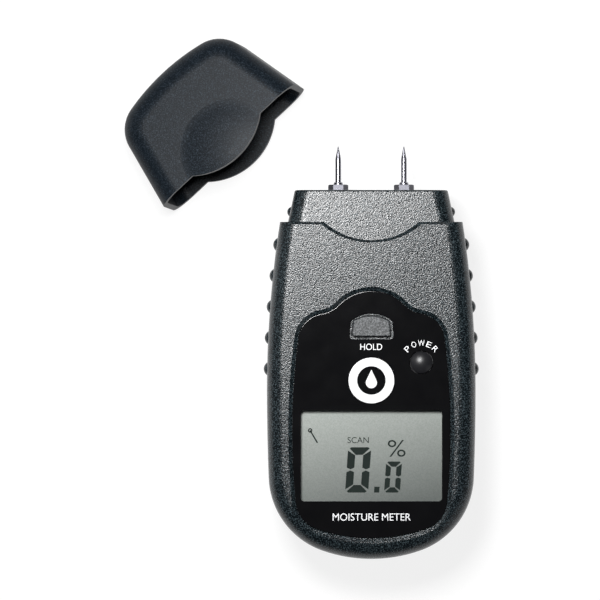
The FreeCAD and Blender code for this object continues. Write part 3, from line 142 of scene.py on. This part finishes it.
def set_color(material, source):
    join(material, source, shader_of(material).inputs["Base Color"])


def add_bump(material, height, distance, strength=1.0):
    """Grain that the light catches, distance metres deep."""
    bump = node(material, "ShaderNodeBump", Strength=strength, Distance=distance)
    join(material, height, bump.inputs["Height"])
    join(material, bump.outputs["Normal"], shader_of(material).inputs["Normal"])


def vary_roughness(material, source, low, high):
    """Roughness that wanders between two values with a noise."""
    item = node(material, "ShaderNodeMapRange", To_Min=low, To_Max=high)
    join(material, source, item.inputs["Value"])
    join(material, item.outputs["Result"], shader_of(material).inputs["Roughness"])


def mottle(material, first, second):
    """Base colour that wanders softly between two close tones."""
    set_color(material, blend_colors(material, noise(material, SOFT_MOTTLE), first, second))


# Each EDGE is the pair of texture values between which a material goes from its dark tone to
# its light one. Each SHEEN is its lowest and highest roughness.
CASE_DARK = (0.0020, 0.0040, 0.0052)
CASE_LIGHT = (0.038, 0.054, 0.062)
CASE_EDGE = (0.50, 0.64)
CASE_SHEEN = (0.22, 0.36)


def make_case_plastic():
    """Spark-textured ABS: dark, with pits and grains that catch the light."""
    material = new_material("case_plastic", CASE_DARK, roughness=0.4)
    grain = spark_noise(material)
    spark = ramp(material, grain, *CASE_EDGE)
    set_color(material, blend_colors(material, spark, CASE_DARK, CASE_LIGHT))
    vary_roughness(material, spark, *CASE_SHEEN)
    add_bump(material, grain, SPARK_DEPTH)
    return material


CAP_DARK = (0.0024, 0.0046, 0.0074)
CAP_LIGHT = (0.027, 0.038, 0.050)
CAP_EDGE = (0.50, 0.68)
CAP_SHEEN = (0.36, 0.52)
CAP_GRAIN = SATIN_GRAIN * 0.8
CAP_DEPTH = 0.035 * MM
CAP_SPECULAR = 0.13


def make_cap_plastic():
    """The cap's moulded plastic: bluer and duller than the case, with a shallower grain."""
    material = new_material("cap_plastic", CAP_DARK, roughness=0.42, specular_ior_level=CAP_SPECULAR)
    grain = noise(material, CAP_GRAIN, detail=3.0, roughness=0.6)
    set_color(material, blend_colors(material, ramp(material, grain, *CAP_EDGE), CAP_DARK, CAP_LIGHT))
    vary_roughness(material, grain, *CAP_SHEEN)
    add_bump(material, grain, CAP_DEPTH)
    return material


GLOSS_DARK = (0.0025, 0.0025, 0.003)
GLOSS_LIGHT = (0.0045, 0.0045, 0.005)
GLOSS_MEAN = (0.003, 0.003, 0.0035)
GLOSS_SHEEN = (0.07, 0.12)


def make_panel_gloss():
    """Black polished sheet with a thin clear coat."""
    material = new_material("panel_gloss", GLOSS_MEAN, roughness=0.1, coat_weight=0.2,
                            coat_roughness=0.05)
    mottle(material, GLOSS_DARK, GLOSS_LIGHT)
    vary_roughness(material, noise(material, SOFT_MOTTLE), *GLOSS_SHEEN)
    return material


LENS_TINT = (0.02, 0.022, 0.022)
LENS_ALPHA = 0.05
LENS_SHEEN = (0.03, 0.07)


def make_lens():
    """Clear lens, nearly all seen through."""
    material = new_material("lens_clear", LENS_TINT, roughness=0.05, alpha=LENS_ALPHA)
    vary_roughness(material, noise(material, SOFT_MOTTLE), *LENS_SHEEN)
    return material


# Painted light and shade on the display: its colour goes from a shaded tone at the lower right to a lit
# tone at the upper left.
LCD_PAINTED_LIT = (0.415, 0.445, 0.415)
LCD_PAINTED_SHADE = (0.076, 0.089, 0.083)
LCD_PAINTED_LIGHT_SLOPE = -0.3            # how much the sweep loses from the left side to the right
LCD_PAINTED_LIGHT_RANGE = (-0.3, 1.0)     # the sweep at the lower right and at the upper left corner
LCD_EDGE = (0.38, 0.62)
LCD_GRAIN_DARK = (0.86, 0.875, 0.865)
LCD_GRAIN_LIGHT = (1.0, 1.0, 1.0)
LCD_SHEEN = (0.4, 0.5)


def make_display_glass():
    """Reflective display with painted light: its colour is paler towards its upper left corner and
    darker towards its lower right, as the light falls across it.
    """
    material = new_material("display_glass", LCD_PAINTED_SHADE, roughness=0.45)
    split = node(material, "ShaderNodeSeparateXYZ")
    join(material, coordinates(material, "Generated"), split.inputs[0])
    across = node(material, "ShaderNodeMath")
    across.operation = "MULTIPLY_ADD"
    across.inputs[MATH_SECOND].default_value = LCD_PAINTED_LIGHT_SLOPE
    join(material, split.outputs["X"], across.inputs[0])
    join(material, split.outputs["Y"], across.inputs[MATH_THIRD])
    # Painted light: a sweep from the lower right to the upper left that pales the display's colour
    # where the light falls.
    sweep = ramp(material, across.outputs[0], *LCD_PAINTED_LIGHT_RANGE)
    grain = ramp(material, noise(material, SATIN_GRAIN), *LCD_EDGE)
    tone = blend_colors(material, sweep, LCD_PAINTED_SHADE, LCD_PAINTED_LIT)
    cloud = blend_colors(material, grain, LCD_GRAIN_DARK, LCD_GRAIN_LIGHT)
    set_color(material, multiply_colors(material, tone, cloud))
    vary_roughness(material, grain, *LCD_SHEEN)
    return material


KEY_DARK = (0.014, 0.017, 0.019)
KEY_LIGHT = (0.13, 0.137, 0.143)
KEY_TONE = (0.16, 0.165, 0.17)
KEY_EDGE = (0.46, 0.60)
KEY_SHEEN = (0.42, 0.58)
KEY_DEPTH = 0.05 * MM


def make_key_plastic():
    """The HOLD key's plastic: mid grey with the case's spark texture, only shallower."""
    material = new_material("key_grey", KEY_TONE, roughness=0.5)
    grain = spark_noise(material)
    set_color(material, blend_colors(material, ramp(material, grain, *KEY_EDGE), KEY_DARK, KEY_LIGHT))
    vary_roughness(material, grain, *KEY_SHEEN)
    add_bump(material, grain, KEY_DEPTH)
    return material


PLAIN_STRENGTH = 0.4


def make_plain(name, first, second, sheen, grain=SATIN_GRAIN, depth=SATIN_DEPTH, **others):
    """Moulded or painted stock: two close tones, wandering roughness and a fine grain."""
    material = new_material(name, first, sheen[0], **others)
    mottle(material, first, second)
    height = noise(material, grain)
    vary_roughness(material, height, *sheen)
    add_bump(material, height, depth, PLAIN_STRENGTH)
    return material


RING_SPACING = 0.0004
RING_STRETCH = (0.05, 1.0, 0.05)
RING_DEPTH = 0.001 * MM
RING_STRENGTH = 0.3


def make_turned_metal(name, first, second, sheen):
    """Metal turned on a lathe: fine rings round its Y axis."""
    material = new_material(name, first, sheen[0], metallic=1.0)
    rings = noise(material, RING_SPACING, stretch=RING_STRETCH)
    set_color(material, blend_colors(material, rings, first, second))
    vary_roughness(material, rings, *sheen)
    add_bump(material, rings, RING_DEPTH, RING_STRENGTH)
    return material


MASK_DARK = (0.008, 0.075, 0.022)
MASK_LIGHT = (0.018, 0.15, 0.045)
MASK_TONE = (0.01, 0.10, 0.03)
MASK_EDGE = (0.35, 0.45)
MASK_DEPTH = 0.02 * MM
MASK_STRENGTH = 0.5
RUN_SPACING = 0.0016


def make_board_mask():
    """Green solder resist with copper runs that show through it."""
    material = new_material("board_mask", MASK_TONE, roughness=0.3)
    runs = node(material, "ShaderNodeTexVoronoi", Scale=1.0 / RUN_SPACING)
    runs.distance = "MANHATTAN"
    join(material, coordinates(material), runs.inputs["Vector"])
    lines = ramp(material, runs.outputs["Distance"], *MASK_EDGE)
    set_color(material, blend_colors(material, lines, MASK_DARK, MASK_LIGHT))
    add_bump(material, lines, MASK_DEPTH, MASK_STRENGTH)
    return material


FOAM_GRAIN = 0.0008
FOAM_DEPTH = 0.3 * MM

# For the plain and the turned materials: two tones, then the lowest and highest roughness
MATERIALS = {
    "case": make_case_plastic(),
    "panel": make_panel_gloss(),
    "lens": make_lens(),
    "display": make_display_glass(),
    "frame": make_plain("frame_plastic", (0.62, 0.62, 0.6), (0.7, 0.7, 0.68), (0.4, 0.55)),
    "contact_strip": make_plain("strip_rubber", (0.6, 0.33, 0.42), (0.68, 0.4, 0.5), (0.6, 0.75)),
    "hold_key": make_key_plastic(),
    "power_key": make_plain("power_black", (0.008, 0.008, 0.010), (0.014, 0.014, 0.016), (0.32, 0.4)),
    "switch": make_plain("switch_black", (0.02, 0.02, 0.02), (0.035, 0.035, 0.035), (0.35, 0.5)),
    "board": make_board_mask(),
    "chip": make_plain("chip_black", (0.015, 0.015, 0.015), (0.03, 0.03, 0.03), (0.55, 0.7)),
    "screw": make_plain("zinc_plate", (0.42, 0.42, 0.4), (0.56, 0.56, 0.55), (0.28, 0.4), metallic=1.0),
    "pin": make_turned_metal("pin_steel", (0.24, 0.24, 0.27), (0.34, 0.34, 0.38), (0.26, 0.30)),
    "nut": make_turned_metal("nut_nickel", (0.10, 0.10, 0.12), (0.20, 0.20, 0.22), (0.48, 0.60)),
    "socket": make_turned_metal("socket_brass", (0.7, 0.5, 0.2), (0.8, 0.6, 0.28), (0.2, 0.32)),
    "lead_black": make_plain("lead_black", (0.015, 0.015, 0.015), (0.03, 0.03, 0.03), (0.4, 0.5)),
    "lead_red": make_plain("lead_red", (0.42, 0.012, 0.012), (0.55, 0.03, 0.025), (0.4, 0.5)),
    "battery": make_plain("battery_jacket", (0.045, 0.055, 0.075), (0.07, 0.08, 0.1), (0.25, 0.35)),
    "terminal": make_plain("terminal_nickel", (0.6, 0.6, 0.58), (0.75, 0.75, 0.72), (0.15, 0.25),
                           metallic=1.0),
    "snap": make_plain("snap_vinyl", (0.018, 0.018, 0.018), (0.035, 0.035, 0.035), (0.5, 0.65)),
    "pad": make_plain("pad_foam", (0.05, 0.05, 0.05), (0.1, 0.1, 0.1), (0.8, 0.95), FOAM_GRAIN,
                      FOAM_DEPTH),
    "cap": make_cap_plastic(),
}

INK = make_plain("white_ink", (0.80, 0.81, 0.82), (0.90, 0.90, 0.91), (0.4, 0.5))
SEGMENT = make_plain("segment_black", (0.007, 0.013, 0.011), (0.012, 0.021, 0.017), (0.6, 0.7),
                     specular_ior_level=0.15)


def paint_nodes():
    """Gives every CAD node the material of its slot in the record."""
    for row in frame["record"]["subparts"]:
        item = frame["nodes"][row["node"]]
        for place in item.material_slots:
            place.material = MATERIALS[row["material_slot"]]


# ---------------------------------------------------------------- flat pieces

RING_SECTORS = 72
DROP_STEPS = 28


def settle(item, body, material):
    """Puts the material on a piece and makes it ride on its body."""
    item.data.materials.append(material)
    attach(item, body)


def flat_piece(name, outlines, height, material, slot_name):
    """One mesh of flat polygons, each a list of (x, y) in metres, facing +Z."""
    mesh = bpy.data.meshes.new(name)
    form = bmesh.new()
    for outline in outlines:
        form.faces.new([form.verts.new((x, y, height)) for x, y in outline])
    bmesh.ops.recalc_face_normals(form, faces=form.faces)
    for face in form.faces:
        if face.normal.z < 0:
            face.normal_flip()
    form.to_mesh(mesh)
    form.free()
    item = bpy.data.objects.new(name, mesh)
    bpy.context.scene.collection.objects.link(item)
    settle(item, "meter", material)


def ring_sectors(centre, inner, outer, count=RING_SECTORS):
    """Quads that make a flat ring round a centre."""
    turns = [2 * math.pi * index / count for index in range(count + 1)]
    spokes = [Vector((math.cos(turn), math.sin(turn))) for turn in turns]
    quads = []
    for first, second in zip(spokes, spokes[1:]):
        corners = (first * inner, first * outer, second * outer, second * inner)
        quads.append([tuple(centre + corner) for corner in corners])
    return quads


def lettering(name, words, edges, height, material, slot_name, turn=0.0, weight=0.0):
    """Flat text fitted between its edges, which are left, right, foot and top in metres."""
    left, right, foot, top = edges
    curve = bpy.data.curves.new(name, "FONT")
    curve.body = words
    curve.size = 1.0
    curve.offset = weight
    item = bpy.data.objects.new(name, curve)
    bpy.context.scene.collection.objects.link(item)
    bpy.context.view_layer.update()
    corners = [Vector(corner) for corner in item.bound_box]
    low = Vector((min(c.x for c in corners), min(c.y for c in corners)))
    high = Vector((max(c.x for c in corners), max(c.y for c in corners)))
    scale_x = (right - left) / (high.x - low.x)
    scale_y = (top - foot) / (high.y - low.y)
    item.scale = (scale_x, scale_y, 1.0)
    item.rotation_euler = (0.0, 0.0, turn)
    middle = Vector(((left + right) / 2, (foot + top) / 2))
    offset = Vector(((low.x + high.x) / 2 * scale_x, (low.y + high.y) / 2 * scale_y))
    offset.rotate(Matrix.Rotation(turn, 2))
    item.location = (middle.x - offset.x, middle.y - offset.y, height)
    settle(item, "meter", material)


# ---------------------------------------------------------------- print on the panel

PANEL_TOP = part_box("panel_overlay")[1].z + INK_LIFT
ON_PANEL = (PANEL_TOP, INK, "panel")       # height, material and slot of the panel's print
power_low, power_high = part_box("power_button")
POWER_MIDDLE = (power_low + power_high) / 2

# The left, right, foot and top edges of each word
HOLD_EDGES = (-3.5 * MM, 3.4 * MM, 7.7 * MM, 9.7 * MM)
TITLE_EDGES = (-12.2 * MM, 12.4 * MM, -46.1 * MM, -43.8 * MM)

# The word POWER runs round its button, its middle letter on top
POWER_WORD = "POWER"
POWER_TURN = math.radians(23.0)
POWER_REACH = 6.1 * MM
LETTER_HALF_WIDTH = 0.75 * MM
WIDE_LETTER_HALF_WIDTH = 1.05 * MM
LETTER_HALF_HEIGHT = 0.9 * MM

BADGE = Vector((0.0, -1.9 * MM))
BADGE_OUTER = 7.2 * MM
BADGE_INNER = 4.5 * MM
DROP_CENTRE = BADGE - Vector((0.0, 0.7 * MM))
DROP_RADIUS = 1.75 * MM
DROP_PEAK = 4.1 * MM


def print_panel():
    """The generic words on the panel."""
    lettering("print_hold", "HOLD", HOLD_EDGES, *ON_PANEL)
    lettering("print_title", "MOISTURE METER", TITLE_EDGES, *ON_PANEL)
    for index, letter in enumerate(POWER_WORD):
        turn = POWER_TURN * (len(POWER_WORD) // 2 - index)
        x = POWER_MIDDLE.x - math.sin(turn) * POWER_REACH
        y = POWER_MIDDLE.y + math.cos(turn) * POWER_REACH
        half = WIDE_LETTER_HALF_WIDTH if letter == "W" else LETTER_HALF_WIDTH
        edges = (x - half, x + half, y - LETTER_HALF_HEIGHT, y + LETTER_HALF_HEIGHT)
        lettering(f"print_power_{index + 1}", letter, edges, *ON_PANEL, turn=turn)


def drop_outline(centre, radius, peak):
    """A drop: a round foot whose sides run straight up to a point, peak above its centre."""
    touch = math.asin(radius / peak)
    sweep = math.pi + 2 * touch
    turns = [touch - sweep * index / DROP_STEPS for index in range(DROP_STEPS + 1)]
    points = [(centre.x + radius * math.cos(turn), centre.y + radius * math.sin(turn))
              for turn in turns]
    return points + [(centre.x, centre.y + peak)]


def print_badge():
    """A white ring with a drop in it, a plain badge."""
    flat_piece("badge_ring", ring_sectors(BADGE, BADGE_INNER, BADGE_OUTER), *ON_PANEL)
    flat_piece("badge_drop", [drop_outline(DROP_CENTRE, DROP_RADIUS, DROP_PEAK)], *ON_PANEL)


# ---------------------------------------------------------------- what the display shows

GLASS_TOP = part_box("lcd_glass")[1].z + INK_LIFT
ON_GLASS = (GLASS_TOP, SEGMENT, "display")  # height, material and slot of the display's signs
SLANT = math.tan(math.radians(4.0))
SEGMENT_GAP = 0.16 * MM

# CORNER_CUT and WAIST are shares of a segment's stroke, the SHOULDER values of its corner's cut
CORNER_CUT = 0.35
SHOULDER_IN = 0.4
SHOULDER_DOWN = 0.5
WAIST = 0.3

DIGIT_FOOT = -37.3 * MM
LARGE_DIGIT = {"left": -8.3 * MM, "right": 0.0 * MM, "top": -23.0 * MM, "stroke": 2.40 * MM}
SMALL_DIGIT = {"left": 4.0 * MM, "right": 9.7 * MM, "top": -27.5 * MM, "stroke": 1.65 * MM}

POINT_LEFT = 0.85 * MM
POINT_RIGHT = 2.5 * MM
POINT_TOP = -35.45 * MM
POINT_LEAN = 0.1 * MM

PERCENT_EDGES = (5.2 * MM, 10.8 * MM, -26.0 * MM, -20.7 * MM)
PERCENT_WEIGHT = -0.005
SCAN_EDGES = (-7.5 * MM, -0.8 * MM, -21.7 * MM, -19.8 * MM)

POINTER_TIP = Vector((-17.0 * MM, -21.6 * MM))
POINTER_START = Vector((-19.3 * MM, -17.7 * MM))
POINTER_HALF_WIDTH = 0.22 * MM
POINTER_INNER = 0.35 * MM
POINTER_OUTER = 0.7 * MM
POINTER_SECTORS = 24


def zero_digit(left, right, top, stroke):
    """The six outer segments of a seven-segment digit, leaning a little to the right."""
    foot, gap = DIGIT_FOOT, SEGMENT_GAP
    right = right - (top - foot) * SLANT
    cut = stroke * CORNER_CUT
    middle = (foot + top) / 2
    ends = ((top, top - stroke, 1), (foot, foot + stroke, -1))
    inner_left, inner_right = left + stroke, right - stroke
    shapes = []
    for end, inner_end, away in ends:
        shoulder = end - away * cut * SHOULDER_DOWN
        shapes.append([(left + cut + gap, end), (right - cut - gap, end),
                       (right - gap - cut * SHOULDER_IN, shoulder), (inner_right - gap, inner_end),
                       (inner_left + gap, inner_end), (left + gap + cut * SHOULDER_IN, shoulder)])
    for outer, inner in ((left, inner_left), (right, inner_right)):
        for end, inner_end, away in ends:
            waist = middle + away * stroke * WAIST
            shapes.append([(outer, end - away * cut - away * gap), (inner, inner_end - away * gap),
                           (inner, waist), ((outer + inner) / 2, middle + away * gap),
                           (outer, waist)])
    return [[(x + (y - foot) * SLANT, y) for x, y in shape] for shape in shapes]


def show_reading():
    """The reading 0.0, the percent sign, the word SCAN and a small pointer."""
    flat_piece("digit_large", zero_digit(**LARGE_DIGIT), *ON_GLASS)
    point = [(POINT_LEFT, DIGIT_FOOT), (POINT_RIGHT, DIGIT_FOOT), (POINT_RIGHT + POINT_LEAN, POINT_TOP),
             (POINT_LEFT + POINT_LEAN, POINT_TOP)]
    flat_piece("decimal_point", [point], *ON_GLASS)
    flat_piece("digit_small", zero_digit(**SMALL_DIGIT), *ON_GLASS)
    lettering("sign_percent", "%", PERCENT_EDGES, *ON_GLASS, weight=PERCENT_WEIGHT)
    lettering("word_scan", "SCAN", SCAN_EDGES, *ON_GLASS)
    side = (POINTER_TIP - POINTER_START).orthogonal().normalized() * POINTER_HALF_WIDTH
    needle = [tuple(POINTER_START + side), tuple(POINTER_START - side),
              tuple(POINTER_TIP - side), tuple(POINTER_TIP + side)]
    ring = ring_sectors(POINTER_START, POINTER_INNER, POINTER_OUTER, POINTER_SECTORS)
    flat_piece("sign_pointer", [needle] + ring, *ON_GLASS)


# ---------------------------------------------------------------- floor, lights and camera

FLOOR_HALF = 4.0
FLOOR_DROP = 0.0002         # keeps the floor just clear of the object's underside
FLOOR_DARK = (0.16, 0.16, 0.16)
FLOOR_LIGHT = (0.17, 0.17, 0.17)
FLOOR_SHEEN = (0.9, 0.95)
FLOOR_GRAIN = 0.001
FLOOR_DEPTH = 0.01 * MM
FLOOR_GLOW = 0.85

LIGHTS = {
    "key_over_neck": {"place": (-0.066, 0.128, 0.40), "target": (0.0, 0.02, 0.03),
                      "size": 0.12, "power": 2.4},
    "fill_foot_right": {"place": (0.30, -0.22, 0.16), "target": (-0.03, 0.06, 0.015),
                        "size": 0.2, "power": 0.07},
    "fill_high_left": {"place": (-0.9, 0.35, 0.55), "target": (-0.02, 0.02, 0.02),
                       "size": 0.5, "power": 0.5},
}
WORLD_TINT = (0.9, 0.94, 1.0)
WORLD_GLOW = 0.03

VIEW_CENTRE = Vector((-22.5 * MM, 23.46 * MM, 24.0 * MM))
VIEW_WIDTH = 189.6 * MM
CAMERA_REACH = 3.0
CAMERA_NEAR = 1.0
CAMERA_FAR = 10.0
SENSOR = 36.0


def make_floor():
    """A pale floor that glows, so that only a soft shadow shows round the object."""
    mesh = bpy.data.meshes.new("floor")
    half = FLOOR_HALF
    mesh.from_pydata([(-half, -half, 0), (half, -half, 0), (half, half, 0), (-half, half, 0)], [],
                     [(0, 1, 2, 3)])
    floor = bpy.data.objects.new("floor", mesh)
    floor.location.z = -FLOOR_DROP
    bpy.context.scene.collection.objects.link(floor)
    material = make_plain("floor_paper", FLOOR_DARK, FLOOR_LIGHT, FLOOR_SHEEN, FLOOR_GRAIN,
                          FLOOR_DEPTH)
    shader = shader_of(material)
    shader.inputs["Emission Color"].default_value = (1.0, 1.0, 1.0, 1.0)
    shader.inputs["Emission Strength"].default_value = FLOOR_GLOW
    floor.data.materials.append(material)


def add_light(name, place, target, size, power):
    """A square softbox at a place, turned to its target, that the camera doesn't see."""
    data = bpy.data.lights.new(name, "AREA")
    data.shape = "SQUARE"
    data.size = size
    data.energy = power
    item = bpy.data.objects.new(name, data)
    item.location = place
    item.rotation_euler = (Vector(target) - Vector(place)).to_track_quat("-Z", "Y").to_euler()
    item.visible_camera = False
    bpy.context.scene.collection.objects.link(item)


def make_lights():
    for name, settings in LIGHTS.items():
        add_light(name, **settings)
    world = bpy.data.worlds.new("studio")
    world.use_nodes = True
    background = world.node_tree.nodes["Background"]
    background.inputs["Color"].default_value = (*WORLD_TINT, 1.0)
    background.inputs["Strength"].default_value = WORLD_GLOW
    bpy.context.scene.world = world


def make_camera():
    """A camera far above the object, looking straight down."""
    data = bpy.data.cameras.new("camera")
    data.type = "PERSP"
    data.sensor_width = SENSOR
    data.lens = SENSOR * CAMERA_REACH / VIEW_WIDTH
    data.clip_start = CAMERA_NEAR
    data.clip_end = CAMERA_FAR
    camera = bpy.data.objects.new("camera", data)
    camera.location = VIEW_CENTRE + Vector((0.0, 0.0, CAMERA_REACH))
    bpy.context.scene.collection.objects.link(camera)
    bpy.context.scene.camera = camera


bpy.context.scene.view_settings.view_transform = "Standard"
paint_nodes()
print_panel()
print_badge()
show_reading()
make_floor()
make_lights()
make_camera()
